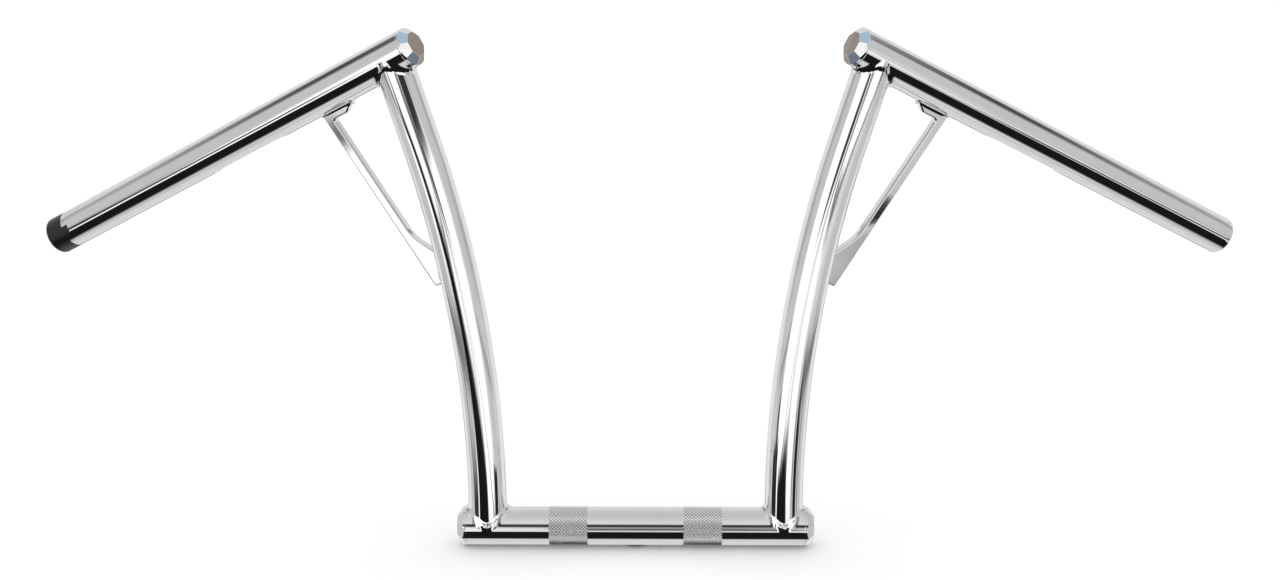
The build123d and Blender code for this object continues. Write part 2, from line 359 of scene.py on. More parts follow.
def make_base_tube():
    points, faces, slots = base_tube()
    mesh = bmesh.new()
    verts = [mesh.verts.new(p) for p in points]
    for face, face_slot in zip(faces, slots):
        made = mesh.faces.new([verts[v] for v in face])
        made.material_index = face_slot
    bmesh.ops.remove_doubles(mesh, verts=mesh.verts, dist=2e-6)
    hole = [e for e in mesh.edges if e.is_boundary]
    bridged = bmesh.ops.bridge_loops(mesh, edges=hole)
    for face in bridged["faces"]:
        face.material_index = 1
    bmesh.ops.recalc_face_normals(mesh, faces=mesh.faces)
    points, faces, slots = mesh_lists(mesh)
    for centre in (-KNURL_X, KNURL_X):
        band_points, band_faces = knurl_sleeve(centre)
        start = len(points)
        points += band_points
        faces += [[start + v for v in face] for face in band_faces]
        slots += [2] * len(band_faces)
    add_piece("base_tube_knurled", points, faces, "base_tube", (CHROME, RAW_STEEL, KNURL), slots=slots)


# ---------------------------------------------------------------- uprights


def upright_frame(along):
    """Centre and direction at a distance along an upright's axis, from the base tube's axis."""
    bend = BEND_R * TILT
    if along < FOOT:
        return np.array([UPRIGHT_X, 0, along]), np.array([0.0, 0, 1])
    turn = min((along - FOOT) / BEND_R, TILT)
    centre = np.array([UPRIGHT_X + BEND_R * (1 - math.cos(turn)), 0, FOOT + BEND_R * math.sin(turn)])
    direction = np.array([math.sin(turn), 0, math.cos(turn)])
    return centre + direction * max(0.0, along - FOOT - bend), direction


UPRIGHT_LENGTH = FOOT + BEND_R * TILT + (
    JUNCTION[2] - FOOT - BEND_R * math.sin(TILT)
) / math.cos(TILT)
UPRIGHT_OUT = np.array([math.cos(TILT), 0, -math.sin(TILT)])


def upright_start(radius):
    """How far up each line of the tube's wall starts, on the base tube's surface."""
    return np.sqrt(TUBE_R**2 - (radius * np.sin(ANGLES)) ** 2)


def upright_end(radius):
    """How far below the junction each line of the tube's wall ends, on the grip tube's surface."""
    lean = -UP_DIRECTION @ UNDER_GRIP
    reach = np.sqrt(TUBE_R**2 - (radius * np.sin(ANGLES)) ** 2)
    return (reach - radius * np.cos(ANGLES) * (UPRIGHT_OUT @ UNDER_GRIP)) / lean


def make_upright(side):
    rings, straight, wall = [], [], []
    stations = np.linspace(FIRST_RING, UPRIGHT_LENGTH - LAST_RING, UPRIGHT_RINGS)
    for radius, order in ((TUBE_R, 1), (BORE_R, -1)):
        start = upright_start(radius)
        end = UPRIGHT_LENGTH - upright_end(radius)
        rows = [start + (stations[0] - start) * k / COPE_ROWS for k in range(COPE_ROWS)]
        rows += [np.full(AROUND, s) for s in stations]
        rows += [stations[-1] + (end - stations[-1]) * k / COPE_ROWS for k in range(1, COPE_ROWS + 1)]
        for row in rows[::order]:
            ring = []
            for along, angle in zip(row, ANGLES):
                centre, way = upright_frame(along)
                out = np.array([way[2], 0, -way[0]])
                radial = math.cos(angle) * out + math.sin(angle) * np.array([0, 1, 0])
                ring.append(centre + radius * radial)
            rings.append(ring)
            straight.append(np.stack([row, radius * np.cos(ANGLES), radius * np.sin(ANGLES)], 1))
            wall.append(0 if order == 1 else 1)
    faces = grid_faces(len(rings), AROUND, rows_closed=True)
    slots = [max(wall[face[0] // AROUND], wall[face[2] // AROUND]) for face in faces]
    add_piece(f"upright_{side}_tube", np.concatenate(rings), faces, f"upright_{side}",
              (CHROME, RAW_STEEL), side, slots, np.concatenate(straight))


# ---------------------------------------------------------------- grip tubes


def smooth_maximum(a, b, blend):
    share = np.clip(0.5 + 0.5 * (a - b) / blend, 0, 1)
    return b + (a - b) * share + blend * share * (1 - share)


def dimple(along, angles):
    """How far the wall is pressed in, under the tube (angle 0), at a distance along it."""
    beyond = max(DIMPLE_START - along, along - DIMPLE_END, 0.0)
    if beyond > 0.8 * DIMPLE_RAMP_R:
        return np.zeros_like(angles)
    lift = DIMPLE_RAMP_R - math.sqrt(DIMPLE_RAMP_R**2 - beyond**2)
    centre = TUBE_R + DIMPLE_TOOL_R - DIMPLE_DEPTH + lift
    turn = np.arctan2(np.sin(angles), np.cos(angles))
    across = centre * np.sin(turn)
    hit = np.abs(across) < DIMPLE_TOOL_R
    bottom = centre * np.cos(turn) - np.sqrt(np.clip(DIMPLE_TOOL_R**2 - across**2, 0, None))
    press = np.where(hit & (np.abs(turn) < 1), TUBE_R - bottom, -1.0)
    return smooth_maximum(press, np.zeros_like(press), DIMPLE_BLEND) if lift < 0.006 else press * 0


NOTCH_COLUMNS = 18


def grip_angles(radius, notched):
    """The angles of a ring's points. With a notch, its columns are TAB_WIDTH wide at every radius."""
    if not notched:
        return ANGLES
    half = math.asin(TAB_WIDTH / 2 / radius)
    inside = np.linspace(-half, half, NOTCH_COLUMNS + 1)
    outside = np.linspace(half, 2 * math.pi - half, AROUND - NOTCH_COLUMNS + 1)[1:-1]
    return np.concatenate([inside, outside]) - math.pi / 2


def make_grip_tube(side):
    notched = side == "throttle"
    end = GRIP_OUTER - (COLLAR if notched else 0)
    rounding = SEAM_ROUNDING if notched else END_ROUNDING
    notch_start = end - TAB_LENGTH
    outside = [(-GRIP_MOUTH, TUBE_R - SEAM_CHAMFER), (-GRIP_MOUTH + SEAM_CHAMFER, TUBE_R)]
    outside += [(t, TUBE_R) for t in np.linspace(-0.008, 0.088, 13)]
    outside += [(t, TUBE_R) for t in np.arange(0.0925, 0.1656, 0.001)]
    outside += [(t, TUBE_R) for t in np.linspace(0.175, notch_start, 12)]
    rim = arc_rows(end - rounding, TUBE_R - rounding, rounding, 0, 90, 7)
    inside = [(end, SEAT_R + 0.0002), (end - 0.0002, SEAT_R), (notch_start, SEAT_R),
              (end - SEAT_DEPTH, SEAT_R), (end - SEAT_DEPTH, BORE_R), (0.17, BORE_R)]
    inside += [(t, BORE_R) for t in np.arange(0.163, 0.094, -0.002)]
    inside += [(0.0, BORE_R), (-GRIP_MOUTH, BORE_R)]
    profile = outside + rim + inside
    rings, straight = [], []
    for number, (along, radius) in enumerate(profile):
        angles = grip_angles(radius, notched)
        press = dimple(along, angles)
        inner = number >= len(outside) + len(rim)
        wall = np.minimum(radius, TUBE_R - press - DIMPLE_WALL) if inner else radius - press
        flat = np.stack([np.full(AROUND, along), wall * np.cos(angles), wall * np.sin(angles)], 1)
        rings.append(JUNCTION + flat @ np.array([GRIP_AXIS, UNDER_GRIP, PLATE_NORMAL]))
        straight.append(flat)
    first = len(outside) - 1
    last = len(outside) + len(rim) + 2

    def skip(i, j):
        return notched and first <= i < last and j < NOTCH_COLUMNS

    faces = grid_faces(len(rings), AROUND, rows_closed=True, skip=skip)
    shown = len(outside) + len(rim)
    slots = [0 if face[0] // AROUND < shown and 0 < face[2] // AROUND <= shown else 1
             for face in faces]
    if notched:
        rows = range(first, last + 1)
        faces.append([i * AROUND for i in rows])
        faces.append([i * AROUND + NOTCH_COLUMNS for i in reversed(rows)])
        for j in range(NOTCH_COLUMNS):
            faces.append([first * AROUND + j, first * AROUND + j + 1, last * AROUND + j + 1,
                          last * AROUND + j])
        slots += [1] * (NOTCH_COLUMNS + 2)
    add_piece(f"grip_tube_{side}_dimpled", np.concatenate(rings), faces, f"grip_tube_{side}",
              (CHROME, RAW_STEEL), side, slots, np.concatenate(straight))


# ---------------------------------------------------------------- caps


def make_cap(name, side, origin, along, facet):
    """A round plug head cut by bevel planes round its face, with softened edges."""
    other = np.cross(along, facet)

    def radial(turn):
        return math.cos(turn) * facet + math.sin(turn) * other

    turns = np.arange(CAP_AROUND) * 2 * math.pi / CAP_AROUND
    cap = bmesh.new()
    rings = []
    for height, radius in ((0.0, TUBE_R - SEAM_CHAMFER), (SEAM_CHAMFER, TUBE_R), (CAP_HEAD, TUBE_R)):
        rings.append([cap.verts.new(origin + along * height + radius * radial(a)) for a in turns])
    for lower, upper in zip(rings, rings[1:]):
        for k in range(CAP_AROUND):
            m = (k + 1) % CAP_AROUND
            cap.faces.new((lower[k], lower[m], upper[m], upper[k]))
    cap.faces.new(rings[0][::-1])
    cap.faces.new(rings[-1])
    for k in range(CAP_SIDES):
        way = radial(k * 2 * math.pi / CAP_SIDES)
        cut = bmesh.ops.bisect_plane(cap, geom=cap.verts[:] + cap.edges[:] + cap.faces[:],
                                     plane_co=origin + along * CAP_HEAD + way * CAP_FACE_APOTHEM,
                                     plane_no=unit(way + along / CAP_BEVEL_SLOPE),
                                     clear_outer=True, dist=1e-7)
        edges = [g for g in cut["geom_cut"] if isinstance(g, bmesh.types.BMEdge)]
        bmesh.ops.edgeloop_fill(cap, edges=edges)
    bmesh.ops.recalc_face_normals(cap, faces=cap.faces)
    sharp = math.radians(14)
    edges = [e for e in cap.edges if len(e.link_faces) == 2 and e.calc_face_angle() > sharp]
    bmesh.ops.bevel(cap, geom=edges, offset=CAP_EDGE, segments=3, profile=0.5, affect="EDGES",
                    clamp_overlap=True)
    points, faces, _ = mesh_lists(cap)
    add_piece(f"{name}_{side}_facets", points, faces, f"{name}_{side}", (CHROME_CAP,), side, sharp=24,
              flat_from=6e-6)


# ---------------------------------------------------------------- gussets


def strap_x(y, inset=0.0):
    return STRAP_TOP_X - STRAP_LEAN * y - inset * math.hypot(1, STRAP_LEAN)


def gusset_point(x, y, z=0.0):
    return JUNCTION + x * GRIP_AXIS + y * UNDER_GRIP + z * PLATE_NORMAL


UPRIGHT_LINE = np.array([upright_frame(s)[0] for s in np.linspace(0.1, UPRIGHT_LENGTH, 600)])


def upright_surface_x(y, depth):
    """Where a line across the gusset, at y, is a depth inside the upright's wall."""
    low, high = 0.0, 0.070
    for _ in range(40):
        middle = (low + high) / 2
        gap = np.min(np.linalg.norm(UPRIGHT_LINE - gusset_point(middle, y), axis=1)) - (TUBE_R - depth)
        low, high = (middle, high) if gap < 0 else (low, middle)
    return low


def rounded(corners):
    """An outline with each (x, y, radius) corner rounded by an arc."""
    outline = []
    count = len(corners)
    for k, (x, y, radius) in enumerate(corners):
        here = np.array([x, y])
        if radius == 0:
            outline.append(here)
            continue
        back = unit(np.array(corners[k - 1][:2]) - here)
        ahead = unit(np.array(corners[(k + 1) % count][:2]) - here)
        half = math.acos(np.clip(back @ ahead, -1, 1)) / 2
        centre = here + unit(back + ahead) * radius / math.sin(half)
        start = here + back * radius / math.tan(half) - centre
        finish = here + ahead * radius / math.tan(half) - centre
        sweep = math.atan2(start[0] * finish[1] - start[1] * finish[0], start @ finish)
        steps = max(3, round(abs(sweep) / math.radians(5)))
        for step in range(steps + 1):
            a = sweep * step / steps
            outline.append(centre + np.array([start[0] * math.cos(a) - start[1] * math.sin(a),
                                              start[0] * math.sin(a) + start[1] * math.cos(a)]))
    return outline


def inset(outline, depth):
    """The outline with each edge moved inwards by its own depth."""
    ways = np.roll(outline, -1, axis=0) - outline
    ways /= np.linalg.norm(ways, axis=1)[:, None]
    inwards = np.stack([-ways[:, 1], ways[:, 0]], 1)
    ahead = np.roll(outline, -1, axis=0)
    if np.sum(outline[:, 0] * ahead[:, 1] - outline[:, 1] * ahead[:, 0]) < 0:
        inwards = -inwards
    moved = []
    for k, point in enumerate(outline):
        sides = np.array([inwards[k - 1], inwards[k]])
        shift = np.linalg.lstsq(sides, np.array([depth[k - 1], depth[k]]), rcond=1e-3)[0]
        moved.append(point + shift)
    return np.array(moved)


def make_gusset(side):
    foot_y = TUBE_R + FOOT_THICKNESS
    corners = [
        (FOOT_END_X, TUBE_R - 0.0006, 0), (FOOT_END_X, TUBE_R + 0.0001, 0),
        (FOOT_END_X + FOOT_END_SLANT, foot_y, 0.002), (strap_x(foot_y, STRAP_WIDTH), foot_y, 0.002),
        (strap_x(HEEL_Y, STRAP_WIDTH), HEEL_Y, HEEL_R),
        (upright_surface_x(TOE_INNER_Y, SUNK), TOE_INNER_Y + 0.0012, 0),
    ]
    corners += [(upright_surface_x(y, SUNK), y, 0) for y in np.linspace(TOE_INNER_Y + 0.006, TOE_Y, 4)]
    corners += [(strap_x(TOE_Y), TOE_Y, 0.0016), (strap_x(TUBE_R), TUBE_R - 0.0006, 0)]
    outline = np.array(rounded(corners))
    following = np.roll(outline, -1, axis=0)
    buried = [all(y < TUBE_R or x < upright_surface_x(y, SUNK) + 1e-6 for x, y in ends)
              for ends in zip(outline, following)]
    depth = np.where(buried, 0.0, PLATE_EDGE)
    plate = bmesh.new()
    rows = []
    turns = np.linspace(0, math.pi / 2, PLATE_EDGE_STEPS + 1)
    for height, turn in [(-1, t) for t in turns[::-1]] + [(1, t) for t in turns]:
        level = height * (PLATE / 2 - PLATE_EDGE * (1 - math.sin(turn)))
        ring = inset(outline, depth * (1 - math.cos(turn)))
        rows.append([plate.verts.new(gusset_point(x, y, level)) for x, y in ring])
    count = len(outline)
    plate.faces.new(rows[0])
    plate.faces.new(rows[-1][::-1])
    for one, two in zip(rows, rows[1:]):
        for k in range(count):
            m = (k + 1) % count
            plate.faces.new((one[m], one[k], two[k], two[m]))
    bmesh.ops.recalc_face_normals(plate, faces=plate.faces)
    points, faces, _ = mesh_lists(plate)
    flat = (points - JUNCTION) @ np.array([UNDER_GRIP, GRIP_AXIS, PLATE_NORMAL]).T
    add_piece(f"gusset_{side}_strap", points, faces, f"gusset_{side}", (CHROME_PLATE,), side,
              straight=flat, flat_from=2e-4)


# ---------------------------------------------------------------- welds


def cross_curve(start, start_way, finish, finish_way, crown, steps):
    """Rows of a bead's face: along one wall, over to the other, and a little proud between."""
    reach = BEAD_REACH * np.linalg.norm(finish - start, axis=1)[:, None]
    one, two = start + start_way * reach, finish + finish_way * reach
    rows = []
    for step in range(steps + 1):
        v = step / steps
        row = ((1 - v) ** 3) * start + 3 * v * (1 - v) ** 2 * one
        row = row + 3 * v * v * (1 - v) * two + v**3 * finish
        rows.append(row + crown * math.sin(math.pi * v) ** 2)
    return rows


def ripple(count, waves, seed):
    """A smooth closed unevenness, as hand welding and polishing leave it."""
    draw = np.random.default_rng(seed)
    turns = np.arange(count) * 2 * math.pi / count
    total = np.zeros(count)
    for wave in waves:
        total += draw.uniform(0.5, 1) * np.sin(wave * turns + draw.uniform(0, 2 * math.pi))
    return total / len(waves)


def add_bead(name, rows, replaces, side):
    faces = grid_faces(len(rows), len(rows[0]), rows_closed=True)
    add_piece(name, np.concatenate(rows), faces, replaces, (CHROME_WELD,), side, sharp=50)


def saddle_weld(name, side, replaces, centre, main, branch, seed):
    """The bead round a branch tube that sits on a main tube of the same size."""
    across = unit(np.cross(main, branch))
    lean = main @ branch
    up = unit(branch - main * lean)
    out = unit(main - branch * lean)
    angle = math.acos(lean)
    quarter = 72
    count = 4 * quarter
    turns = np.arange(count) * 2 * math.pi / count
    toe_x, toe_arc, toe_way, branch_s = [], [], [], []
    for turn in turns:
        forward = 1 if math.cos(turn) >= 0 else -1
        sidewards = 1 if math.sin(turn) >= 0 else -1
        u = abs(math.asin(max(-1, min(1, math.sin(turn))))) / (math.pi / 2)
        stretch = 1 / math.tan(angle / 2) if forward > 0 else math.tan(angle / 2)
        seam_turn = min(1, u / WELD_CORNER) * math.pi / 2
        way = math.atan(stretch * math.sin(seam_turn))
        if u > WELD_CORNER:
            way += (math.pi / 2 - way) * (u - WELD_CORNER) / (1 - WELD_CORNER)
        leg = WELD_LEG + (WELD_SIDE_LEG - WELD_LEG) * u**2.2
        toe_x.append(forward * (stretch * TUBE_R * math.cos(seam_turn) + leg * math.cos(way)))
        toe_arc.append(sidewards * (TUBE_R * seam_turn + leg * math.sin(way)))
        toe_way.append((forward * math.cos(way), sidewards * math.sin(way)))
        branch_s.append(math.hypot(stretch * TUBE_R * math.cos(turn), WELD_NOSE) + WELD_LEG)
    toe_x, toe_arc, toe_way = np.array(toe_x), np.array(toe_arc), np.array(toe_way)
    wander = ripple(count, (3, 5, 8, 13), seed)
    toe_x = toe_x + WELD_WANDER * wander * toe_way[:, 0]
    beta = toe_arc / TUBE_R
    branch_s = np.array(branch_s) + WELD_TOP_WANDER * ripple(count, (4, 7, 11), seed + 1)
    radial_main = np.cos(beta)[:, None] * up + np.sin(beta)[:, None] * across
    around_main = -np.sin(beta)[:, None] * up + np.cos(beta)[:, None] * across
    radial_branch = np.cos(turns)[:, None] * out + np.sin(turns)[:, None] * across
    main_toe = centre + toe_x[:, None] * main + TUBE_R * radial_main
    branch_toe = centre + branch_s[:, None] * branch + TUBE_R * radial_branch
    main_way = -(toe_way[:, :1] * main + toe_way[:, 1:] * around_main)
    branch_way = np.tile(-branch, (count, 1))
    flatness = np.clip(np.sum(radial_main * radial_branch, 1), 0, 1)[:, None]
    normal = radial_main + radial_branch
    normal /= np.linalg.norm(normal, axis=1)[:, None]
    height = WELD_CROWN * (0.25 + 0.75 * flatness[:, 0])
    height = height + WELD_RIPPLE * ripple(count, (14, 19, 23, 31), seed + 2)
    crown = normal * height[:, None]
    rows = cross_curve(branch_toe, branch_way, main_toe, main_way, crown, 12)
    root = 0.45 * (branch_toe + main_toe) + 0.1 * (centre + branch * TUBE_R) - 0.0008 * normal
    rows.append(root)
    add_bead(name, rows, replaces, side)


def foot_weld(name, side, replaces, origin, along, outward, start, end, seed):
    """The bead round the end of a plate that stands on a tube, from start to end along the tube."""
    normal = np.cross(along, outward)
    middle, half_length, half_width = (start + end) / 2, (end - start) / 2, PLATE / 2
    count = 160
    turns = np.arange(count) * 2 * math.pi / count
    shape_x = half_length * np.sign(np.cos(turns)) * np.abs(np.cos(turns)) ** FOOT_WELD_CORNER
    shape_z = half_width * np.sign(np.sin(turns)) * np.abs(np.sin(turns)) ** FOOT_WELD_CORNER
    ring = np.stack([shape_x, shape_z], 1)
    ahead = np.roll(ring, -1, 0) - np.roll(ring, 1, 0)
    away = np.stack([ahead[:, 1], -ahead[:, 0]], 1)
    away /= np.linalg.norm(away, axis=1)[:, None]
    leg = FOOT_WELD * (1 + 0.30 * ripple(count, (3, 5, 9), seed))
    toe = ring + away * leg[:, None]
    top = ring - away * 0.00002

    def on_tube(shape):
        z = np.clip(shape[:, 1], -0.95 * TUBE_R, 0.95 * TUBE_R)
        height = np.sqrt(TUBE_R**2 - z**2)
        return origin + (middle + shape[:, :1]) * along + z[:, None] * normal + height[:, None] * outward

    toe_points = on_tube(toe)
    top_points = on_tube(top) + outward * leg[:, None]
    toe_way = -(away[:, :1] * along + away[:, 1:] * normal)
    top_way = np.tile(-outward, (count, 1))
    lean = toe_way - outward
    height = FOOT_WELD_CROWN + WELD_RIPPLE * ripple(count, (11, 17, 23), seed + 1)
    crown = lean / np.linalg.norm(lean, axis=1)[:, None] * height[:, None]
    rows = cross_curve(top_points, top_way, toe_points, toe_way, crown, 8)
    rows.append(on_tube(ring * 0.9) - outward * 0.0005)
    add_bead(name, rows, replaces, side)


def make_welds(side, seed):
    saddle_weld(f"weld_base_{side}_bead", side, f"weld_base_{side}", np.array([UPRIGHT_X, 0, 0]),
                np.array([1.0, 0, 0]), np.array([0, 0, 1.0]), seed)
    saddle_weld(f"weld_grip_{side}_bead", side, f"weld_grip_{side}", JUNCTION, GRIP_AXIS, -UP_DIRECTION,
                seed + 10)
    foot_weld(f"weld_gusset_foot_{side}_bead", side, f"weld_gusset_foot_{side}", JUNCTION, GRIP_AXIS,
              UNDER_GRIP, FOOT_END_X, strap_x(TUBE_R), seed + 20)
    toe_y = (TOE_INNER_Y + TOE_Y) / 2
    near = gusset_point(upright_surface_x(toe_y, 0), toe_y)
    distances = np.linalg.norm(UPRIGHT_LINE - near, axis=1)
    closest = int(np.argmin(distances))
    origin = UPRIGHT_LINE[closest]
    along = -unit(UPRIGHT_LINE[closest + 1] - UPRIGHT_LINE[closest - 1])
    outward = near - origin
    outward = unit(outward - along * (outward @ along))
    half = (TOE_Y - TOE_INNER_Y) / 2
    foot_weld(f"weld_gusset_toe_{side}_bead", side, f"weld_gusset_toe_{side}", origin, along, outward,
              -half, half, seed + 30)


# ---------------------------------------------------------------- materials


class Nodes:
    """Short words for building a node tree."""

    def __init__(self, tree):
        self.tree = tree

    def add(self, kind, inputs=None, **settings):
        made = self.tree.nodes.new(kind)
        for key, value in settings.items():
            setattr(made, key, value)
        self.fill(made, inputs or {})
        return made

    def fill(self, made, inputs):
        """Link each socket that is given, and set each plain value."""
        for key, value in inputs.items():
            if isinstance(value, bpy.types.NodeSocket):
                self.tree.links.new(value, made.inputs[key])
            else:
                made.inputs[key].default_value = value

    def math(self, operation, a, b=0.0):
        return self.add("ShaderNodeMath", {0: a, 1: b}, operation=operation).outputs[0]

    def times(self, one, two):
        return self.math("MULTIPLY", one, two)

    def plus(self, one, two):
        return self.math("ADD", one, two)

    def range(self, value, low, high, start, end, how="LINEAR"):
        made = self.add("ShaderNodeMapRange", {"Value": value, "From Min": low, "From Max": high,
                                               "To Min": start, "To Max": end},
                        interpolation_type=how)
        return made.outputs["Result"]

    def step(self, value, low, high, start=0.0, end=1.0):
        """Smoothly from start at low to end at high."""
        return self.range(value, low, high, start, end, "SMOOTHSTEP")

    def noise(self, vector, scale, detail=2.0, roughness=0.5):
        made = self.add("ShaderNodeTexNoise", {"Vector": vector, "Scale": scale, "Detail": detail,
                                               "Roughness": roughness})
        return made.outputs["Fac"]

    def scaled(self, vector, scale):
        return self.add("ShaderNodeVectorMath", {0: vector, 1: scale}, operation="MULTIPLY").outputs[0]

    def mix(self, share, one, two):
        made = self.add("ShaderNodeMix", {0: share, 6: one, 7: two}, data_type="RGBA")
        return made.outputs[2]

    def curve(self, value, points, low, high):
        """A smooth graph through (value, result) points, over -180 to 180."""
        made = self.add("ShaderNodeFloatCurve", {"Value": self.range(value, -180, 180, 0, 1)})
        graph = made.mapping.curves[0]
        for number, (along, up) in enumerate(points):
            place = ((along + 180) / 360, (up - low) / (high - low))
            last = number == len(points) - 1
            if number == 0 or last:
                graph.points[-1 if last else 0].location = place
            else:
                graph.points.new(*place).handle_type = "VECTOR"
        made.mapping.update()
        return self.range(made.outputs[0], 0, 1, low, high)

    def bump(self, height, distance, strength=1.0, normal=None):
        inputs = {"Height": height, "Distance": distance, "Strength": strength}
        if normal is not None:
            inputs["Normal"] = normal
        return self.add("ShaderNodeBump", inputs).outputs["Normal"]


class Surface(Nodes):
    """A new material. Its polish is the place of a point on the straightened tube."""

    def __init__(self, name):
        self.material = bpy.data.materials.new(name)
        self.material.use_nodes = True
        super().__init__(self.material.node_tree)

    def polish(self):
        return self.add("ShaderNodeAttribute", attribute_name="polish").outputs["Vector"]

    def shade(self, inputs):
        self.fill(self.tree.nodes["Principled BSDF"], inputs)
        return self.material


def chrome(name, bright, dull, rough_low, rough_high, line_strength, wave_strength):
    """Polished plate: faint haze, fine polishing lines round the tube and a slight waviness."""
    nodes = Surface(name)
    place = nodes.polish()
    haze = nodes.noise(place, 55, 4, 0.6)
    lines = nodes.noise(nodes.scaled(place, (2600, 90, 90)), 1.0, 2, 0.6)
    waves = nodes.noise(nodes.scaled(place, (28, 60, 60)), 1.0, 1, 0.4)
    specks = nodes.noise(place, 900, 2, 0.7)
    colour = nodes.mix(nodes.step(haze, 0.35, 0.75), (*bright, 1), (*dull, 1))
    rough = nodes.range(nodes.plus(haze, nodes.times(lines, 0.5)), 0.4, 1.1, rough_low, rough_high)
    wavy = nodes.bump(waves, 0.0004 * wave_strength)
    lined = nodes.bump(nodes.plus(lines, nodes.times(specks, 0.3)), 0.0000004 * line_strength,
                       normal=wavy)
    return nodes.shade({"Base Color": colour, "Roughness": rough, "Normal": lined, "Metallic": 1.0,
                         "Specular Tint": (1, 1, 1, 1)})


def raw_steel():
    """The bare inside of the tube: drawn, dull and slightly stained."""
    nodes = Surface("raw_steel")
    place = nodes.polish()
    stain = nodes.noise(place, 130, 5, 0.65)
    drawn = nodes.noise(nodes.scaled(place, (40, 1500, 1500)), 1.0, 2, 0.5)
    colour = nodes.mix(nodes.step(stain, 0.4, 0.7), (0.30, 0.29, 0.28, 1), (0.13, 0.12, 0.11, 1))
    return nodes.shade({"Base Color": colour, "Roughness": nodes.range(stain, 0.3, 0.8, 0.38, 0.6),
                         "Normal": nodes.bump(drawn, 0.00002), "Metallic": 0.85})


def knurl_material():
    """The same plate over rolled diamonds: softer, with painted shade that darkens its colour in the
    valleys.
    """
    nodes = Surface("chrome_knurl")
    place = nodes.polish()
    parts = nodes.add("ShaderNodeSeparateXYZ", {0: place}).outputs
    squares = nodes.plus(nodes.math("POWER", parts[1], 2.0), nodes.math("POWER", parts[2], 2.0))
    radius = nodes.math("SQRT", squares)
    # painted shade: the colour is darker the deeper a point lies in a valley, lighter on the crests
    crest = nodes.step(radius, KNURL_R - 0.92 * KNURL_DEPTH, KNURL_R - 0.45 * KNURL_DEPTH)
    grain = nodes.noise(place, 1400, 3, 0.6)
    colour = nodes.mix(crest, (0.47, 0.47, 0.475, 1), (0.985, 0.987, 0.99, 1))
    return nodes.shade({"Base Color": colour, "Roughness": nodes.range(grain, 0.3, 0.7, 0.26, 0.40),
                         "Normal": nodes.bump(grain, 0.00001), "Metallic": 1.0})


def black_plastic():
    """Moulded plastic: fine spark texture, faint grey scuffs."""
    nodes = Surface("black_plastic")
    place = nodes.add("ShaderNodeTexCoord").outputs["Object"]
    grain = nodes.noise(place, 2400, 3, 0.6)
    scuff = nodes.noise(nodes.scaled(place, (400, 90, 90)), 1.0, 4, 0.7)
    colour = nodes.mix(nodes.step(scuff, 0.5, 0.8), (0.0060, 0.0060, 0.0064, 1),
                       (0.0125, 0.0125, 0.013, 1))
    return nodes.shade({"Base Color": colour, "Roughness": nodes.range(scuff, 0.3, 0.8, 0.30, 0.44),
                         "Normal": nodes.bump(grain, 0.00003), "IOR": 1.5})


BRIGHT = (0.885, 0.888, 0.893)
DULL = (0.845, 0.85, 0.858)
CHROME = chrome("chrome", BRIGHT, DULL, 0.015, 0.05, 1.0, 0.05)
CHROME_PLATE = chrome("chrome_plate", BRIGHT, DULL, 0.015, 0.04, 0.3, 0.12)
CHROME_CAP = chrome("chrome_cap", BRIGHT, DULL, 0.03, 0.07, 1.0, 0.1)
CHROME_WELD = chrome("chrome_weld", (0.875, 0.878, 0.883), (0.80, 0.805, 0.812), 0.02, 0.08, 2.0, 0.5)
RAW_STEEL = raw_steel()
KNURL = knurl_material()
BLACK_PLASTIC = black_plastic()


# ---------------------------------------------------------------- studio


def grey(level):
    return (level, level, level * 1.005)


class Studio(Nodes):
    """What the chrome mirrors: tones painted one over another, by the direction looked in.

    Azimuth is 0 towards the front and grows to the clutch side, elevation grows upwards, both in
    degrees. Aside is the azimuth without its sign, for what is the same on both sides.
    """

    degrees = 180 / math.pi

    def __init__(self, tree):
        super().__init__(tree)
        way = self.add("ShaderNodeTexCoord").outputs["Generated"]
        x, y, z = self.add("ShaderNodeSeparateXYZ", {0: way}).outputs
        self.elevation = self.times(self.math("ARCSINE", z), self.degrees)
        backwards = self.times(y, -1.0)
        self.azimuth = self.times(self.math("ARCTAN2", x, backwards), self.degrees)
        self.aside = self.math("ABSOLUTE", self.azimuth)
        folded = self.add("ShaderNodeCombineXYZ", {0: self.math("ABSOLUTE", x), 1: y, 2: z})
        self.folded = folded.outputs[0]
        self.colour = None

    def between(self, value, low, high, soft):
        rise = self.step(value, low - soft, low + soft)
        return self.times(rise, self.step(value, high - soft, high + soft, 1.0, 0.0))

    def paint(self, mask, tone):
        """Lay a grey level or a colour over what is there, where the mask is 1."""
        colour = tone if isinstance(tone, tuple) else grey(tone)
        self.colour = self.mix(mask, self.colour, (*colour, 1))

    def paint_box(self, across, upwards, tone):
        """Both ways are given as (value, low, high, soft)."""
        self.paint(self.times(self.between(*across), self.between(*upwards)), tone)

    def paint_spots(self, azimuth, elevation, radius, soft, tone):
        """A round patch on both sides."""
        a, e = math.radians(azimuth), math.radians(elevation)
        aim = (math.cos(e) * math.sin(a), -math.cos(e) * math.cos(a), math.sin(e))
        dot = self.add("ShaderNodeVectorMath", {0: self.folded, 1: aim}, operation="DOT_PRODUCT")
        off = self.times(self.math("ARCCOSINE", dot.outputs["Value"]), self.degrees)
        self.paint(self.step(off, radius - soft, radius + soft, 1.0, 0.0), tone)


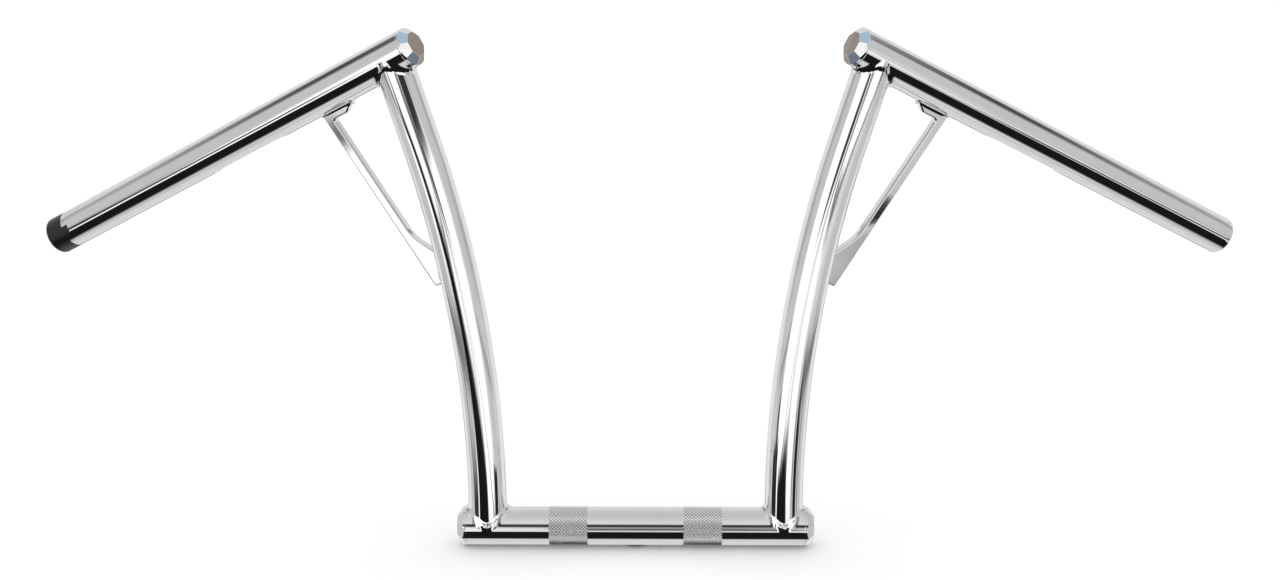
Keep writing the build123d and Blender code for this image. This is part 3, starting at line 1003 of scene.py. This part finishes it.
def pale_surround(studio):
    """The ground tone, from straight below to straight above."""
    look = studio.add("ShaderNodeValToRGB", {0: studio.range(studio.elevation, -90, 90, 0, 1)})
    ramp = look.color_ramp
    ramp.interpolation = "B_SPLINE"
    stops = ((-90, 0.76), (-60, 0.70), (-32, 0.93), (0, 0.80), (22, 0.76), (42, 0.76), (58, 0.66),
             (75, 0.60), (90, 0.60))
    for number, (degree, level) in enumerate(stops):
        place = (degree + 90) / 180
        stop = ramp.elements[number] if number < 2 else ramp.elements.new(place)
        stop.position = place
        stop.color = (*grey(level), 1)
    studio.colour = look.outputs[0]


def walls(studio):
    """Greyer walls with a dimmer strip and a thin soft line at both sides, and a dim front."""
    elevation, aside = studio.elevation, studio.aside
    studio.paint(studio.between(aside, 57, 108, 8), 0.60)
    studio.paint_box((aside, 93, 113, 6), (elevation, -4, 40, 6), 0.44)
    sunk = studio.plus(elevation, studio.times(aside, 0.10))
    studio.paint_box((aside, 52, 92, 6), (sunk, -2.6, -0.6, 1.2), 0.36)
    # A dim wall above the softboxes and a black gap over the camera
    front = studio.step(aside, 48, 62, 1.0, 0.0)
    studio.paint(studio.times(front, studio.between(elevation, 6, 27, 5)), 0.30)
    over_camera = studio.step(aside, 9, 15, 1.0, 0.0)
    studio.paint(studio.times(over_camera, studio.between(elevation, 11.5, 25, 4)), 0.03)
    # A black strip high at each side
    studio.paint_box((aside, 98, 132, 9), (elevation, 25.5, 34, 4.5), 0.07)


def softboxes(studio):
    """Two softboxes beside the camera, with a dark edge over the right one."""
    elevation, azimuth = studio.elevation, studio.azimuth
    studio.paint_box((azimuth, -58, -6, 2.5), (elevation, -26.5, 9, 1.0), 1.25)
    top = studio.math("SUBTRACT", elevation, studio.times(azimuth, 0.30))
    studio.paint_box((azimuth, 4, 49, 3), (top, -45, -9.5, 1.5), 1.25)
    studio.paint_box((azimuth, 10, 42, 2), (top, -9, -5, 1.2), 0.035)


def camera_side(studio):
    """What stands behind and beside the camera."""
    elevation, azimuth = studio.elevation, studio.azimuth
    studio.paint_box((azimuth, -3.1, 3, 0.4), (elevation, -12, 7, 2), 0.30)
    studio.paint_box((azimuth, -3, 2, 0.5), (elevation, -5, -1, 1.0), 0.03)
    studio.paint_box((azimuth, 2, 13, 1.5), (elevation, -9.5, -5, 1.2), 0.10)
    studio.paint_box((azimuth, -21, -7.5, 1.5), (elevation, -8.2, -2, 1.2), 0.05)


def seam(studio):
    """A thin dark seam that falls away to both sides."""
    further = studio.times(studio.plus(studio.aside, 15.0), -1 / 30)
    fade = studio.math("POWER", math.e, further)
    drop = studio.times(studio.math("SUBTRACT", 1.0, fade), 24.0)
    above = studio.plus(studio.elevation, drop)
    studio.paint_box((studio.aside, 8, 105, 3), (above, -0.4, 0.4, 0.3), 0.20)


def right_box_corner(studio):
    """The right softbox dims at its lower corner, with a dark bar across."""
    elevation, corner = studio.elevation, (studio.azimuth, 45.6, 52, 1.5)
    studio.paint_box(corner, (elevation, -28, -17, 2), 0.62)
    studio.paint_box(corner, (elevation, -28, -24.3, 0.2), 0.44)
    studio.paint_box(corner, (elevation, -23.95, -23.4, 0.06), 0.015)


def low_cards(studio):
    """Low dark cards at both sides."""
    elevation, azimuth = studio.elevation, studio.azimuth
    studio.paint_box((azimuth, -80, -51, 1.5), (elevation, -21.0, -15.5, 0.8), 0.02)
    studio.paint_box((azimuth, -69, -59, 3), (elevation, -18, -12, 1.5), 0.05)
    studio.paint_box((azimuth, 50.6, 70, 1.0), (elevation, -21.9, -17.2, 0.5), 0.02)


def black_band(studio):
    """The black band below the horizon, which fades quickly to the table."""
    turns = ((-180, -33), (-75, -33), (-60, -27), (-48, -27), (-44, -18), (-12, -17.3), (-4, -17.8),
             (5, -18.6), (11, -21), (43, -21), (45.5, -26.5), (50, -26.5), (53, -24.5), (61, -36),
             (180, -36))
    edge = studio.curve(studio.azimuth, turns, -40, -10)
    over = studio.math("SUBTRACT", studio.elevation, edge)
    band_top = studio.step(over, -1.2, 1.2, 1.0, 0.0)
    band_low = studio.step(studio.elevation, -74, -61, 0.0, 1.0)
    ring = studio.step(studio.aside, 100, 140, 1.0, 0.0)
    studio.paint(studio.times(studio.times(band_top, band_low), ring), 0.010)


def low_behind(studio):
    """A dark band for what faces the rear, and a dark card for the left gusset's outer edge."""
    elevation = studio.elevation
    rear = studio.step(studio.aside, 156, 166)
    studio.paint(studio.times(rear, studio.between(elevation, -39, -30.5, 1.5)), 0.06)
    studio.paint_box((studio.azimuth, -143, -80, 3), (elevation, -39, -32, 1.0), 0.02)


def cap_patches(studio):
    """Patches that only the facets of the caps catch."""
    studio.paint_spots(80, -22, 2.6, 0.8, (0.17, 0.20, 0.25))
    studio.paint_spots(38.5, 20.5, 2.8, 0.8, 1.05)
    studio.paint_spots(69, 77, 2.6, 0.8, (0.42, 0.56, 0.70))
    studio.paint_spots(132, 18, 2.0, 0.4, (0.30, 0.255, 0.22))
    studio.paint_spots(146, -20, 3.5, 1, (0.36, 0.31, 0.27))


def make_studio():
    """Mirrored rays see the painted studio, and all others see an even white."""
    world = bpy.data.worlds.new("studio")
    bpy.context.scene.world = world
    world.use_nodes = True
    world.node_tree.nodes.clear()
    studio = Studio(world.node_tree)
    for part in (pale_surround, walls, softboxes, camera_side, seam, right_box_corner, low_cards,
                 black_band, low_behind, cap_patches):
        part(studio)
    rays = studio.add("ShaderNodeLightPath").outputs
    mirrored = studio.add("ShaderNodeBackground", {"Color": studio.colour, "Strength": 1.0}).outputs[0]
    even = studio.add("ShaderNodeBackground", {"Color": (1, 1, 1, 1), "Strength": 1.12}).outputs[0]
    glossy = studio.math("MAXIMUM", rays["Is Glossy Ray"], rays["Is Transmission Ray"])
    mixed = studio.add("ShaderNodeMixShader", {0: glossy, 1: even, 2: mirrored}).outputs[0]
    studio.add("ShaderNodeOutputWorld", {"Surface": mixed})


def floor():
    """A plain pale floor under the base tube."""
    half, level = 9.0, -KNURL_R - 0.0004
    corners = [(x * half, y * half, level) for x, y in ((-1, -1), (1, -1), (1, 1), (-1, 1))]
    mesh = bpy.data.meshes.new("floor")
    mesh.from_pydata(corners, [], [(0, 1, 2, 3)])
    plane = bpy.data.objects.new("floor", mesh)
    bpy.context.scene.collection.objects.link(plane)
    nodes = Surface("pale_floor")
    place = nodes.add("ShaderNodeTexCoord").outputs["Object"]
    tone = nodes.mix(nodes.noise(place, 3.0, 2), (0.94, 0.94, 0.94, 1), (0.955, 0.955, 0.955, 1))
    mesh.materials.append(nodes.shade({"Base Color": tone, "Roughness": 0.9, "Specular IOR Level": 0.0}))
    plane.visible_glossy = False


def camera():
    """The camera stands in front, above and a little to the clutch side."""
    place = np.array([0.02948, -1.39822, 0.52788])
    yaw, pitch, roll = 0.0186, -0.256, -0.0037
    right = np.array([math.cos(yaw), math.sin(yaw), 0])
    ahead_level = np.array([-math.sin(yaw), math.cos(yaw), 0])
    ahead = math.cos(pitch) * ahead_level + math.sin(pitch) * np.array([0, 0, 1])
    up = -math.sin(pitch) * ahead_level + math.cos(pitch) * np.array([0, 0, 1])
    right_rolled = math.cos(roll) * right + math.sin(roll) * up
    up_rolled = -math.sin(roll) * right + math.cos(roll) * up
    data = bpy.data.cameras.new("camera")
    data.lens = 62.93
    data.sensor_width = 36
    data.clip_start = 0.01
    eye = bpy.data.objects.new("camera", data)
    eye.matrix_world = Matrix([[*row, place[k]] for k, row in
                               enumerate(zip(right_rolled, up_rolled, -ahead))] + [[0, 0, 0, 1]])
    bpy.context.scene.collection.objects.link(eye)
    bpy.context.scene.camera = eye


# ---------------------------------------------------------------- the handlebar

camera()
make_studio()
floor()
bpy.context.scene.view_settings.view_transform = "Standard"

make_base_tube()
for number, side in enumerate(("clutch", "throttle")):
    make_upright(side)
    make_grip_tube(side)
    make_cap("base_cap", side, np.array([BASE_MOUTH, 0, 0]), np.array([1.0, 0, 0]), np.array([0, 0, 1.0]))
    make_cap("inner_cap", side, JUNCTION - GRIP_AXIS * GRIP_MOUTH, -GRIP_AXIS, UNDER_GRIP)
    make_gusset(side)
    make_welds(side, 100 * (number + 1))
insert = frame["nodes"]["throttle_insert"]
insert.data.materials.clear()
insert.data.materials.append(BLACK_PLASTIC)
